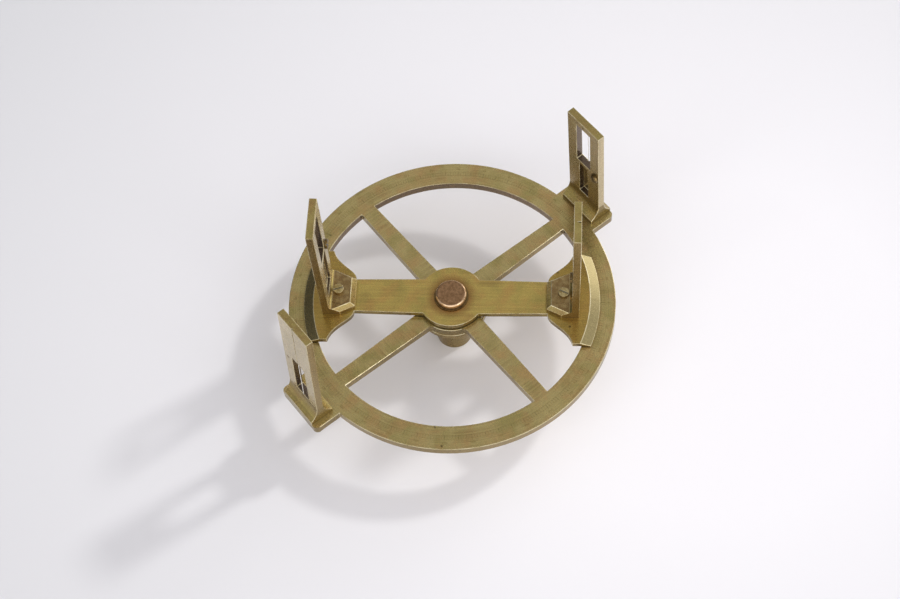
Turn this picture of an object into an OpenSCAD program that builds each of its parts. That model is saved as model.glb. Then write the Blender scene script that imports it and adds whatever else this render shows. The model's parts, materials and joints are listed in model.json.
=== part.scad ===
// Surveying circle with fixed sights and a turning alidade, in millimetres.
// +Z is up, the origin is the middle of the staff socket's foot,
// and the alidade lies along X at rest.

/* [Circle] */
// Outer diameter of the graduated circle
circle_d = 200; // [186:1:240]
// Radial width of the graduated rim
rim_w = 15.1; // [11:0.1:20]
// Thickness of the rim, the spokes and the boss
circle_t = 5.7; // [5:0.1:9]
// Height of the circle's top face above the socket's foot
circle_top = 42; // [38:0.5:60]
// Width of each of the four spokes where it leaves the boss
spoke_root_w = 11.8; // [8:0.1:16]
// Width of each spoke where it meets the rim
spoke_tip_w = 10.1; // [7:0.1:15]
// Diameter of the boss in the middle of the circle
boss_d = 42.8; // [41.6:0.2:52]
// Radius of the fillets between boss and spokes
boss_fillet = 3; // [1:0.1:5]
// Angle from the alidade at rest to the fixed line of sight
fixed_angle = 41; // [30:0.1:60]
// How far each lug reaches past the rim
lug_reach = 16; // [15:0.1:22]
// Width of each lug
lug_w = 34.9; // [30:0.1:40]
// Radius of a lug's two outer corners
lug_corner_r = 3.2; // [0.5:0.1:5]

/* [Staff socket] */
// Outer diameter of the socket tube
socket_d = 22; // [20:0.1:28]
// Diameter of the bore that takes the staff's spigot
socket_bore_d = 16; // [14.5:0.1:18]
// Diameter of the flange under the circle's boss
flange_d = 43.6; // [42:0.1:46]
// Thickness of the flange
flange_t = 3.2; // [2.5:0.1:5]
// Radius of the fillet between tube and flange
flange_fillet = 2; // [0.5:0.1:2.5]
// Ledge between the staff bore and the narrower nut chamber
chamber_ledge = 0.5; // [0.2:0.1:0.9]
// Thickness of the solid web over the nut chamber
web_t = 4.2; // [3.5:0.1:6]
// Diameter of the circle of the four flange screws
flange_pitch_d = 33; // [31:0.5:34]
// Chamfer round the foot of the tube
foot_chamfer = 0.6; // [0.1:0.1:1]

/* [Pivot] */
// Diameter of the shank that the alidade turns on
journal_d = 11; // [10:0.1:13]
// Diameter of the threaded part below the shoulder
thread_d = 8; // [6:0.1:9]
// Diameter of the pivot's head
head_d = 19; // [18:0.1:24]
// Height of the pivot's head
head_h = 3.7; // [2.5:0.1:6]
// Radius round the top edge of the head
head_round = 1.55; // [0.5:0.05:2.2]
// Width across the flats of the pivot's nut
nut_af = 12; // [11:0.1:12.4]
// Height of the pivot's nut
nut_h = 4.5; // [3:0.1:5]
// Chamfer at the end of the thread
thread_chamfer = 0.5; // [0.2:0.1:1]
// Length of thread that stands out below the nut
thread_tail = 0.8; // [0:0.1:1]
// Height of the chamber for the nut, above the staff bore
chamber_h = 6; // [6:0.1:8]
// Outer diameter of the washer under the head
head_washer_d = 20.8; // [20:0.1:26]
// Thickness of the washer under the head
head_washer_t = 0.6; // [0.4:0.05:1.2]
// Outer diameter of the washer under the alidade
rub_washer_d = 28; // [20:0.5:36]
// Thickness of the washer under the alidade
rub_washer_t = 0.95; // [0.5:0.05:1.5]
// Outer diameter of the bush in the alidade
bush_d = 16; // [14.5:0.1:19]
// Running clearance of the alidade on its journal and washers
run_gap = 0.05; // [0.02:0.01:0.1]

/* [Alidade] */
// Width of the bare scale between the index edge and the rim's edge
scale_w = 9.6; // [6:0.1:14]
// Thickness of the alidade
alidade_t = 3.6; // [2.8:0.1:5]
// Width of the bevel that ends in the index edge
bevel_w = 6; // [3:0.1:8]
// Thickness left at the index edge
index_t = 0.5; // [0.3:0.1:1]
// Diameter of the alidade's middle disc
disc_d = 41; // [34:0.5:50]
// Width of each arm where it leaves the disc
arm_root_w = 23.9; // [20:0.1:30]
// Width of each arm where the fan starts
arm_tip_w = 22.2; // [19.5:0.1:30]
// Width of each fan end
fan_w = 62; // [54:0.5:72]
// Length of each fan, from the index edge inwards
fan_len = 31.7; // [29:0.1:36]
// Distance of a fan's inner corners from the index edge
fan_corner = 16.5; // [14:0.1:19]
// How far a fan's side sweeps straight out as it leaves the arm
fan_leave = 6.6; // [4:0.1:9]
// How far before its corner a fan's side turns, along the arm
fan_turn_in = 2.7; // [1:0.1:5]
// How far before its corner a fan's side turns, across the arm
fan_turn_out = 10.5; // [6:0.1:13]

/* [Sights] */
// Width of the fixed sights
fixed_w = 27.4; // [25.6:0.1:28.4]
// Thickness of the fixed sights
fixed_t = 4.5; // [3.8:0.1:5.2]
// Height of the fixed sights above the circle
fixed_h = 89.1; // [76:0.1:100]
// Angle by which the rear sight leans towards the middle
rear_lean = 2.2; // [0:0.1:4]
// Angle by which the front sight leans towards the middle
front_lean = 2.6; // [0:0.1:4]
// Width of the alidade's sights
turning_w = 27.4; // [25.6:0.1:32]
// Thickness of the alidade's sights
turning_t = 4.4; // [3.8:0.1:5.5]
// Height of the alidade's sights above the alidade
turning_h = 87.2; // [76:0.1:100]
// Distance of the alidade's sights from the index edge
turning_setback = 12.6; // [9:0.1:13.5]
// Width of the sighting windows
window_w = 12.2; // [11:0.1:14]
// Height of the bar over a window
top_bar = 5.2; // [4:0.1:8]
// Depth of the middle bar's upper edge below a sight's top
bar_drop = 41.6; // [34:0.1:44]
// Depth of a lower window's head below a sight's top
lower_head_drop = 40; // [34:0.1:44]
// Height of the middle bar
bar_h = 2.8; // [2:0.1:5]
// Width of the sighting slit
slit_w = 0.6; // [0.4:0.1:1.5]
// Width of the recess behind the slit of a fixed sight
fixed_recess_w = 8; // [5:0.1:11]
// Thickness left at the bottom of that recess
fixed_web = 0.9; // [0.6:0.1:2]
// Width of the recess behind the slit of an alidade sight
turning_recess_w = 13.4; // [8:0.1:14]
// Thickness left at the bottom of that recess
turning_web = 2.5; // [1.5:0.1:3]

/* [Feet of the sights] */
// Depth of a fixed sight's plinth along the line of sight
plinth_depth = 15.6; // [15:0.1:18]
// Distance from the plinth's outer face to the sight's outer face
plinth_out = 5.6; // [5:0.1:7]
// Height of the plinth's upright lip
plinth_lip = 3.2; // [1.8:0.1:4]
// Height at which the plinth's coves run into the sight
cove_top = 13.6; // [12:0.1:16]
// Width by which the top of a plinth stands proud of the sight on both faces
plinth_ledge = 0.04; // [0.03:0.01:0.3]
// Height of the lower openings' sill above a plinth's cove
sill_rise = 0.6; // [0.2:0.1:3]
// Length of an alidade sight's foot in front of the sight
foot_len = 15.4; // [14:0.1:17]
// Width of the foot's front edge
foot_front_w = 18.6; // [16:0.1:19]
// Length of the foot's straight sides
foot_side = 6.4; // [5.4:0.1:9]
// Height of the foot
foot_h = 6; // [5:0.1:8]
// Height at which the foot's chamfer starts
foot_edge_h = 3; // [2:0.1:4]
// Depth of the chamfer at the foot's front edge
foot_bevel = 2.8; // [1:0.1:4]
// Width by which the foot's front edge narrows up to its top face
foot_taper = 1.5; // [0.5:0.1:3]
// Radius of the cove between foot and sight
foot_cove = 1.8; // [1:0.1:2.2]
// Height of the lower openings' sill above that cove
foot_sill_rise = 1.8; // [0.2:0.1:3]
// Room between that cove and the foot screw's head
foot_head_gap = 0.1; // [0.05:0.05:0.6]

/* [Fasteners and hairs] */
// Diameter of the screws' threads
screw_d = 3; // [2.4:0.1:3.4]
// Diameter of the foot screws' heads
foot_head_d = 6.4; // [5:0.1:8]
// Height of the foot screws' heads
foot_head_h = 1.8; // [1:0.1:2.6]
// Diameter of the sunk screw heads under the circle
sunk_head_d = 6; // [5:0.1:6.2]
// Depth that the screws under the lugs reach into a plinth
plinth_bite = 7; // [5:0.1:8]
// Depth that the flange screws reach into the boss
boss_bite = 4; // [3:0.1:4.4]
// Spacing of the two screws in each lug
lug_screw_pitch = 17; // [15:0.1:18]
// Spacing of the two steady pins in each lug
lug_pin_pitch = 10.6; // [9:0.1:12]
// Spacing of the two steady pins in each alidade sight
foot_pin_pitch = 18.2; // [16:0.1:19]
// Diameter of the steady pins
steady_d = 2; // [1.5:0.1:2.4]
// Depth that the steady pins reach into a sight's foot
steady_bite = 3; // [2:0.1:3.4]
// Diameter of the hair screws' heads
hair_head_d = 6; // [5:0.1:6.4]
// Height of the hair screws' heads
hair_head_h = 1.7; // [1:0.1:2.4]
// Diameter of the hair screws' threads
hair_screw_d = 2; // [1.5:0.1:2.4]
// Depth of the hair screws' axis below a sight's top
hair_screw_drop = 44.5; // [42:0.1:48]
// Distance of the hair screws from a sight's side
hair_screw_in = 3.4; // [3.1:0.1:3.8]
// Diameter of the pegs that hold the hairs
peg_d = 1.5; // [1:0.1:1.8]
// Diameter of the hole through which a window's hair can be drawn
hair_hole_d = 1.1; // [0.6:0.1:1.2]
// Distance of the lower pegs from the sills over them
peg_below_sill = 2.4; // [1.6:0.1:3]
// Length of the pegs
peg_len = 3; // [2:0.1:3.2]
// Diameter of the sighting hairs
hair_d = 0.4; // [0.2:0.05:0.5]
// Width of the screws' slots
slot_w = 0.9; // [0.6:0.1:1.2]
// Depth of the screws' slots
slot_h = 0.9; // [0.5:0.1:1]
// Clearance round fixed pins, pegs and screws
fit_gap = 0.05; // [0.02:0.01:0.1]

/* [Hidden] */
$fn = 96;

brass = "#A8924F";
pale_brass = "#B9A463";
bronze = "#A6714A";
dark_bronze = "#4A3A24";
steel = "#3C3A38";

// Cuts run past the faces that they open by this much
over = 1;
// Thickness of the slice that ends a hull
slice = 0.02;

// Levels above the socket's foot
circle_under = circle_top - circle_t;
alidade_under = circle_top + rub_washer_t + run_gap;
alidade_top = alidade_under + alidade_t;
head_washer_under = alidade_top + run_gap;
head_under = head_washer_under + head_washer_t;
chamber_top = circle_under - web_t;
bore_top = chamber_top - chamber_h;
thread_foot = chamber_top - nut_h - thread_tail;

// Radii of the circle and the alidade
circle_r = circle_d / 2;
rim_r = circle_r - rim_w;
lug_r = circle_r + lug_reach;
index_r = circle_r - scale_w;
fixed_out_r = lug_r - plinth_out;
fixed_in_r = fixed_out_r - fixed_t;
turning_out_r = index_r - turning_setback;
turning_in_r = turning_out_r - turning_t;
plinth_in = plinth_depth - plinth_out - fixed_t;

// Sills of the lower openings, above the circle and above the alidade
fixed_sill = cove_top + sill_rise;
turning_sill = foot_h + foot_cove + foot_sill_rise;

// Places of screws and pins, across the line of sight and along it
lug_screws = [for (side = [1, -1]) [fixed_t / 2, side * lug_screw_pitch / 2]];
lug_pins = [for (side = [1, -1]) [fixed_t + plinth_out / 2, side * lug_pin_pitch / 2]];
foot_screw_at = [[-foot_cove - foot_head_gap - foot_head_d / 2, 0]];
foot_pins = [for (side = [1, -1]) [-foot_side / 2, side * foot_pin_pitch / 2]];

// Point at fraction k of the curve from a to d that leaves a towards b and reaches d from c
function curve(a, b, c, d, k) =
    a * (1 - k) ^ 3 + b * 3 * k * (1 - k) ^ 2 + c * 3 * k ^ 2 * (1 - k) + d * k ^ 3;

// Radius of a cove that covers a run and a rise and ends in line with a face that leans over it
function cove_r(run, rise, lean) =
    (run ^ 2 + rise ^ 2) / (2 * (run * cos(lean) - rise * sin(lean)));

// Outline of the circle with its spokes, boss and lugs
module circle_outline() {
    difference() {
        circle(circle_r, $fn = 240);
        circle(rim_r, $fn = 240);
    }
    circle(boss_d / 2);
    for (turn = [0 : 90 : 270])
        rotate(fixed_angle + turn) {
            spoke_outline();
            boss_fillets_outline();
        }
    for (turn = [0, 180])
        rotate(fixed_angle + turn)
            lug_outline();
}

// Spoke that narrows from the boss to the rim
module spoke_outline() {
    root = [boss_d / 2, spoke_root_w / 2];
    tip = [rim_r, spoke_tip_w / 2];
    end = rim_r + rim_w / 3;
    polygon([[0, -root.y], [root.x, -root.y], [tip.x, -tip.y], [end, -tip.y],
             [end, tip.y], tip, root, [0, root.y]]);
}

// Fillets in the two corners between the boss and a spoke
module boss_fillets_outline() {
    up = spoke_root_w / 2 + boss_fillet;
    out = sqrt((boss_d / 2 + boss_fillet) ^ 2 - up ^ 2);
    difference() {
        polygon([[0, 0], [out, -up], [out, up]]);
        for (side = [-1, 1])
            translate([out, side * up])
                circle(boss_fillet, $fn = 48);
    }
}

// Lug that carries a fixed sight, with two rounded outer corners
module lug_outline() {
    root = circle_r - rim_w / 2;
    translate([root, -lug_w / 2])
        square([lug_r - lug_corner_r - root, lug_w]);
    translate([root, -lug_w / 2 + lug_corner_r])
        square([lug_r - root, lug_w - 2 * lug_corner_r]);
    for (side = [-1, 1])
        translate([lug_r - lug_corner_r, side * (lug_w / 2 - lug_corner_r)])
            circle(lug_corner_r, $fn = 32);
}

// Outline of the alidade's two arms and fan ends
module arms_outline() {
    start = [index_r - fan_len, arm_tip_w / 2];
    corner = [index_r - fan_corner, fan_w / 2];
    leave = start + [0, fan_leave];
    turn = corner - [fan_turn_in, fan_turn_out];
    steps = 16;
    side = [for (i = [0 : steps]) curve(start, leave, turn, corner, i / steps)];
    right = concat([[disc_d / 4, arm_root_w / 2]], side, [[circle_r, fan_w / 2]]);
    left = [for (i = [len(right) - 1 : -1 : 0]) [-right[i].x, right[i].y]];
    upper = concat(left, right);
    polygon(concat(upper, [for (i = [len(upper) - 1 : -1 : 0]) [upper[i].x, -upper[i].y]]));
}

// Put children at each place of a list, in the plane of the line of sight
module at_places(places) {
    for (p = places)
        translate([p.x, p.y, 0])
            children();
}

// Put children on a lug: turn 0 is the rear one, turn 180 the front one.
// There x runs outwards from the sight's inner face and z starts at the circle's top.
module on_lug(turn) {
    rotate([0, 0, fixed_angle + turn])
        translate([fixed_in_r, 0, circle_top])
            children();
}

// Lean children on a lug towards the middle, about the line where the coves end
module leaning(turn) {
    translate([0, 0, cove_top])
        rotate([0, turn == 0 ? -rear_lean : -front_lean, 0])
            translate([0, 0, -cove_top])
                children();
}

// Put the hair, pegs or hair screw of a fixed sight in its leaning plate
module in_fixed_sight(turn) {
    on_lug(turn)
        leaning(turn)
            children();
}

// Put children on the alidade: turn 0 is the right end, turn 180 the left one.
// There x runs outwards from the sight's inner face and z starts at the alidade's top.
module on_alidade(turn) {
    rotate([0, 0, turn])
        translate([turning_in_r, 0, alidade_top])
            children();
}

// Screw with a sunk head that points down, its head's face at z 0 and its tip at length
module sunk_screw(length) {
    sink = (sunk_head_d - screw_d) / 2;
    difference() {
        union() {
            cylinder(h = sink, d1 = sunk_head_d, d2 = screw_d, $fn = 48);
            cylinder(h = length, d = screw_d, $fn = 32);
        }
        translate([-sunk_head_d, -slot_w / 2, -over])
            cube([2 * sunk_head_d, slot_w, slot_h + over]);
    }
}

// Hole for such a screw
module sunk_hole(length) {
    sink = (sunk_head_d - screw_d) / 2;
    cylinder(h = sink, d1 = sunk_head_d + 2 * fit_gap, d2 = screw_d + 2 * fit_gap, $fn = 48);
    translate([0, 0, -over])
        cylinder(h = over, d = sunk_head_d + 2 * fit_gap, $fn = 48);
    cylinder(h = length + fit_gap, d = screw_d + 2 * fit_gap, $fn = 32);
}

// Round-headed screw that points down from z 0, with its slot turned to an angle
module cheese_screw(thread, length, head, height, slot_angle) {
    difference() {
        union() {
            cylinder(h = height, d = head, $fn = 48);
            translate([0, 0, -length])
                cylinder(h = length + height / 2, d = thread, $fn = 32);
        }
        rotate([0, 0, slot_angle])
            translate([-head, -slot_w / 2, height - slot_h])
                cube([2 * head, slot_w, slot_h + over]);
    }
}

// Heights of the ends of a sight's window, with the window above or below the middle bar
function window_z(h, sill, above) =
    above ? [h - bar_drop, h - top_bar] : [sill, h - lower_head_drop];
function slit_z(h, sill, above) =
    above ? [sill, h - bar_drop - bar_h] : [h - lower_head_drop + bar_h, h - top_bar];
function peg_z(h, sill, above) =
    above ? [h - bar_drop - bar_h / 2, h - top_bar / 2]
          : [sill - peg_below_sill, h - lower_head_drop + bar_h / 2];

// Window, slit with its recess, hair groove, peg holes and hair screw hole of a sight
module sight_openings(w, t, h, sill, above, recess_w, web) {
    win = window_z(h, sill, above);
    slit = slit_z(h, sill, above);
    pegs = peg_z(h, sill, above);
    translate([-over, -window_w / 2, win[0]])
        cube([t + 2 * over, window_w, win[1] - win[0]]);
    translate([-over, -recess_w / 2, slit[0]])
        cube([t - web + over, recess_w, slit[1] - slit[0]]);
    translate([-over, -slit_w / 2, slit[0]])
        cube([t + 2 * over, slit_w, slit[1] - slit[0]]);
    // A slit above the middle bar is sawn in from the sight's top
    if (!above)
        translate([t - web, -slit_w / 2, slit[1] - over])
            cube([web + over, slit_w, top_bar + 2 * over]);
    translate([t - 2 * hair_d, -hair_d, pegs[0]])
        cube([2 * hair_d + over, 2 * hair_d, pegs[1] - pegs[0]]);
    for (z = pegs)
        translate([t - peg_len - fit_gap, 0, z])
            rotate([0, 90, 0])
                cylinder(h = peg_len + over, d = peg_d + 2 * fit_gap, $fn = 32);
    if (above)
        translate([-over, 0, pegs[1]])
            rotate([0, 90, 0])
                cylinder(h = t, d = hair_hole_d, $fn = 32);
    translate([-over, hair_screw_in - w / 2, h - hair_screw_drop])
        rotate([0, 90, 0])
            cylinder(h = t + 2 * over, d = hair_screw_d + 2 * fit_gap, $fn = 32);
}

// Hair of a sight, stretched between its two pegs
module hair(t, h, sill, above) {
    pegs = peg_z(h, sill, above);
    translate([t - hair_d, 0, pegs[0] + peg_d / 2 + fit_gap])
        cylinder(h = pegs[1] - pegs[0] - peg_d - 2 * fit_gap, d = hair_d, $fn = 16);
}

// The two pegs that hold a sight's hair
module hair_pegs(t, h, sill, above) {
    for (z = peg_z(h, sill, above))
        translate([t - peg_len, 0, z])
            rotate([0, 90, 0])
                cylinder(h = peg_len, d = peg_d, $fn = 32);
}

// Screw that clamps a sight's hair, with its head on the sight's inner face
module hair_screw(w, t, h, slot_angle) {
    translate([0, hair_screw_in - w / 2, h - hair_screw_drop])
        rotate([0, -90, 0])
            cheese_screw(hair_screw_d, t - fit_gap, hair_head_d, hair_head_h, slot_angle);
}

// Side view of a fixed sight: a plate that leans by an angle on a plinth with two coves
module fixed_profile(lean) {
    rise = cove_top - plinth_lip;
    in_run = plinth_in - plinth_ledge;
    out_foot = fixed_t / cos(lean) + plinth_ledge;
    out_run = fixed_t + plinth_out - out_foot;
    in_r = cove_r(in_run, rise, -lean);
    out_r = cove_r(out_run, rise, lean);
    translate([0, cove_top])
        rotate(lean)
            translate([0, -2 * over])
                square([fixed_t, fixed_h - cove_top + 2 * over]);
    difference() {
        translate([-plinth_in, 0])
            square([plinth_depth, cove_top]);
        translate([-plinth_ledge - in_r * cos(lean), cove_top - in_r * sin(lean)])
            circle(in_r, $fn = 120);
        translate([out_foot + out_r * cos(lean), cove_top + out_r * sin(lean)])
            circle(out_r, $fn = 120);
    }
}

// Fixed sight with its coved plinth: turn 0 is the rear one, turn 180 the front one
module fixed_sight(turn) {
    above = turn == 0;
    difference() {
        rotate([90, 0, 0])
            linear_extrude(fixed_w, center = true)
                fixed_profile(above ? rear_lean : front_lean);
        leaning(turn)
            sight_openings(fixed_w, fixed_t, fixed_h, fixed_sill, above, fixed_recess_w, fixed_web);
        at_places(lug_screws)
            translate([0, 0, -over])
                cylinder(h = plinth_bite + over + fit_gap, d = screw_d + 2 * fit_gap, $fn = 32);
        at_places(lug_pins)
            translate([0, 0, -over])
                cylinder(h = steady_bite + over + fit_gap, d = steady_d + 2 * fit_gap, $fn = 32);
    }
}

// Half-hexagon foot of an alidade sight, with its upper edges chamfered
module half_hexagon_foot() {
    slant = (foot_len - foot_side) / (turning_w - foot_front_w);
    top_front = foot_len - foot_bevel;
    top_front_w = foot_front_w - foot_taper;
    top_side = top_front - slant * (turning_w - top_front_w);
    hull() {
        linear_extrude(foot_edge_h)
            polygon([[0, -turning_w / 2], [0, turning_w / 2], [-foot_side, turning_w / 2],
                     [-foot_len, foot_front_w / 2], [-foot_len, -foot_front_w / 2],
                     [-foot_side, -turning_w / 2]]);
        translate([0, 0, foot_h - slice])
            linear_extrude(slice)
                polygon([[0, -turning_w / 2], [0, turning_w / 2], [-top_side, turning_w / 2],
                         [-top_front, top_front_w / 2], [-top_front, -top_front_w / 2],
                         [-top_side, -turning_w / 2]]);
    }
}

// Sight of the alidade with its foot
module turning_sight(above) {
    difference() {
        union() {
            translate([0, -turning_w / 2, 0])
                cube([turning_t, turning_w, turning_h]);
            half_hexagon_foot();
            difference() {
                translate([-foot_cove, -turning_w / 2, foot_h - foot_cove / 2])
                    cube([foot_cove + over, turning_w, foot_cove * 1.5]);
                translate([-foot_cove, 0, foot_h + foot_cove])
                    rotate([90, 0, 0])
                        cylinder(h = turning_w + 2 * over, r = foot_cove, center = true, $fn = 64);
            }
        }
        sight_openings(turning_w, turning_t, turning_h, turning_sill, above, turning_recess_w,
                       turning_web);
        at_places(foot_screw_at)
            translate([0, 0, -over])
                cylinder(h = foot_h + 2 * over, d = screw_d + 2 * fit_gap, $fn = 32);
        at_places(foot_pins)
            translate([0, 0, -over])
                cylinder(h = steady_bite + over + fit_gap, d = steady_d + 2 * fit_gap, $fn = 32);
    }
}

// Graduated circle with its boss, spokes and lugs
module circle_plate() {
    color(brass)
        difference() {
            translate([0, 0, circle_under])
                linear_extrude(circle_t)
                    circle_outline();
            translate([0, 0, circle_under - over])
                cylinder(h = circle_t + 2 * over, d = thread_d + 2 * fit_gap);
            for (i = [0 : 3])
                rotate([0, 0, 90 * i])
                    translate([flange_pitch_d / 2, 0, circle_under - over])
                        cylinder(h = boss_bite + over + fit_gap, d = screw_d + 2 * fit_gap, $fn = 32);
            for (turn = [0, 180])
                on_lug(turn)
                    translate([0, 0, -circle_t]) {
                        at_places(lug_screws)
                            sunk_hole(circle_t + over);
                        at_places(lug_pins)
                            translate([0, 0, -over])
                                cylinder(h = circle_t + 2 * over, d = steady_d + 2 * fit_gap, $fn = 32);
                    }
        }
}

// Tube that goes on the staff, with its flange, nut chamber and web
module staff_socket() {
    tube_r = socket_d / 2;
    bore_r = socket_bore_d / 2;
    flange_under = circle_under - flange_t;
    color(brass)
        difference() {
            union() {
                rotate_extrude()
                    polygon([[0, foot_chamfer], [0, circle_under], [flange_d / 2, circle_under],
                             [flange_d / 2, flange_under], [tube_r, flange_under],
                             [tube_r, foot_chamfer], [tube_r - foot_chamfer, 0], [0, 0]]);
                difference() {
                    translate([0, 0, flange_under - flange_fillet])
                        cylinder(h = flange_fillet + flange_t / 2, r = tube_r + flange_fillet);
                    translate([0, 0, flange_under - flange_fillet])
                        rotate_extrude()
                            translate([tube_r + flange_fillet, 0])
                                circle(flange_fillet, $fn = 48);
                }
            }
            translate([0, 0, -over])
                cylinder(h = bore_top + over, r = bore_r);
            translate([0, 0, bore_top - over])
                cylinder(h = chamber_h + over, r = bore_r - chamber_ledge);
            translate([0, 0, chamber_top - over])
                cylinder(h = web_t + 2 * over, d = thread_d + 2 * fit_gap);
            for (i = [0 : 3])
                rotate([0, 0, 90 * i])
                    translate([flange_pitch_d / 2, 0, flange_under])
                        sunk_hole(flange_t + over);
        }
}

// Four screws that hold the socket's flange to the boss
module flange_screws() {
    color(dark_bronze)
        for (i = [0 : 3])
            rotate([0, 0, 90 * i])
                translate([flange_pitch_d / 2, 0, circle_under - flange_t])
                    sunk_screw(flange_t + boss_bite);
}

// Pivot with its rounded head, journal, shoulder and thread
module pivot() {
    head_r = head_d / 2;
    flat_r = head_r - head_round;
    head_top = head_under + head_h;
    color(bronze)
        rotate_extrude()
            union() {
                polygon([[0, thread_foot], [thread_d / 2 - thread_chamfer, thread_foot],
                         [thread_d / 2, thread_foot + thread_chamfer], [thread_d / 2, circle_top],
                         [journal_d / 2, circle_top], [journal_d / 2, head_under],
                         [head_r, head_under], [head_r, head_top - head_round],
                         [flat_r, head_top - head_round], [flat_r, head_top], [0, head_top]]);
                intersection() {
                    translate([flat_r, head_top - head_round])
                        circle(head_round, $fn = 48);
                    translate([flat_r, head_top - head_round])
                        square(head_round);
                }
            }
}

// Nut that holds the pivot under the web
module pivot_nut() {
    color(dark_bronze)
        difference() {
            translate([0, 0, chamber_top - nut_h])
                cylinder(h = nut_h, d = nut_af / cos(30), $fn = 6);
            translate([0, 0, chamber_top - nut_h - over])
                cylinder(h = nut_h + 2 * over, d = thread_d + 2 * fit_gap);
        }
}

// Flat washer round the journal
module washer(under, outer_d, t, tint) {
    color(tint)
        difference() {
            translate([0, 0, under])
                cylinder(h = t, d = outer_d);
            translate([0, 0, under - over])
                cylinder(h = t + 2 * over, d = journal_d + 2 * run_gap);
        }
}

// Plate of the alidade with its disc, arms, fan ends and index bevels
module alidade() {
    edge = alidade_under + index_t;
    color(brass)
        difference() {
            translate([0, 0, alidade_under]) {
                cylinder(h = alidade_t, d = disc_d, $fn = 120);
                linear_extrude(alidade_t)
                    arms_outline();
            }
            rotate_extrude($fn = 240)
                polygon([[index_r - bevel_w, alidade_top], [index_r - bevel_w, alidade_top + over],
                         [lug_r, alidade_top + over], [lug_r, alidade_under - over],
                         [index_r, alidade_under - over], [index_r, edge]]);
            translate([0, 0, alidade_under - over])
                cylinder(h = alidade_t + 2 * over, d = bush_d + 2 * fit_gap);
            for (turn = [0, 180])
                on_alidade(turn)
                    translate([0, 0, -alidade_t - over]) {
                        at_places(foot_screw_at)
                            cylinder(h = alidade_t + 2 * over, d = screw_d + 2 * fit_gap, $fn = 32);
                        at_places(foot_pins)
                            cylinder(h = alidade_t + 2 * over, d = steady_d + 2 * fit_gap, $fn = 32);
                    }
        }
}

// Bush in the alidade that turns on the journal
module alidade_bush() {
    color(pale_brass)
        difference() {
            translate([0, 0, alidade_under])
                cylinder(h = alidade_t, d = bush_d);
            translate([0, 0, alidade_under - over])
                cylinder(h = alidade_t + 2 * over, d = journal_d + 2 * run_gap);
        }
}

// Screws that hold a fixed sight on its lug
module lug_screw_pair(turn) {
    color(dark_bronze)
        on_lug(turn)
            translate([0, 0, -circle_t])
                at_places(lug_screws)
                    sunk_screw(circle_t + plinth_bite);
}

// Steady pins between a lug and its sight
module lug_pin_pair(turn) {
    color(pale_brass)
        on_lug(turn)
            translate([0, 0, -circle_t])
                at_places(lug_pins)
                    cylinder(h = circle_t + steady_bite, d = steady_d, $fn = 32);
}

// Screw that holds an alidade sight by its foot
module foot_screw(turn, slot_angle) {
    color(pale_brass)
        on_alidade(turn)
            at_places(foot_screw_at)
                translate([0, 0, foot_h])
                    cheese_screw(screw_d, foot_h + alidade_t - fit_gap, foot_head_d, foot_head_h,
                                 slot_angle);
}

// Steady pins between the alidade and a sight's foot
module foot_pin_pair(turn) {
    color(pale_brass)
        on_alidade(turn)
            translate([0, 0, -alidade_t])
                at_places(foot_pins)
                    cylinder(h = alidade_t + steady_bite, d = steady_d, $fn = 32);
}

circle_plate();  // circle
staff_socket();
flange_screws();
pivot();
pivot_nut();
washer(circle_top, rub_washer_d, rub_washer_t, steel);  // rub_washer
washer(head_washer_under, head_washer_d, head_washer_t, dark_bronze);  // head_washer

color(brass) on_lug(0) fixed_sight(0);  // rear_sight
lug_screw_pair(0);  // rear_sight_screws
lug_pin_pair(0);  // rear_steady_pins
color(steel) in_fixed_sight(0) hair(fixed_t, fixed_h, fixed_sill, true);  // rear_hair
color(bronze) in_fixed_sight(0) hair_pegs(fixed_t, fixed_h, fixed_sill, true);  // rear_hair_pegs
color(pale_brass) in_fixed_sight(0) hair_screw(fixed_w, fixed_t, fixed_h, 20);  // rear_hair_screw

color(brass) on_lug(180) fixed_sight(180);  // front_sight
lug_screw_pair(180);  // front_sight_screws
lug_pin_pair(180);  // front_steady_pins
color(steel) in_fixed_sight(180) hair(fixed_t, fixed_h, fixed_sill, false);  // front_hair
color(bronze) in_fixed_sight(180) hair_pegs(fixed_t, fixed_h, fixed_sill, false);  // front_hair_pegs
color(pale_brass) in_fixed_sight(180) hair_screw(fixed_w, fixed_t, fixed_h, 75);  // front_hair_screw

alidade();
alidade_bush();
color(brass) on_alidade(0) turning_sight(false);  // right_sight
foot_screw(0, -24);  // right_foot_screw
foot_pin_pair(0);  // right_steady_pins
color(steel) on_alidade(0) hair(turning_t, turning_h, turning_sill, false);  // right_hair
color(bronze) on_alidade(0) hair_pegs(turning_t, turning_h, turning_sill, false);  // right_hair_pegs
color(pale_brass) on_alidade(0) hair_screw(turning_w, turning_t, turning_h, 130);  // right_hair_screw

color(brass) on_alidade(180) turning_sight(true);  // left_sight
foot_screw(180, 18);  // left_foot_screw
foot_pin_pair(180);  // left_steady_pins
color(steel) on_alidade(180) hair(turning_t, turning_h, turning_sill, true);  // left_hair
color(bronze) on_alidade(180) hair_pegs(turning_t, turning_h, turning_sill, true);  // left_hair_pegs
color(pale_brass) on_alidade(180) hair_screw(turning_w, turning_t, turning_h, 40);  // left_hair_screw
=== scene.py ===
"""Looks of the surveying circle: finishes, worn edges with painted highlights, engraved scale, stage, light
and camera.
"""
import json
import math
from types import SimpleNamespace

import bpy
from mathutils import Matrix, Vector

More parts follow.
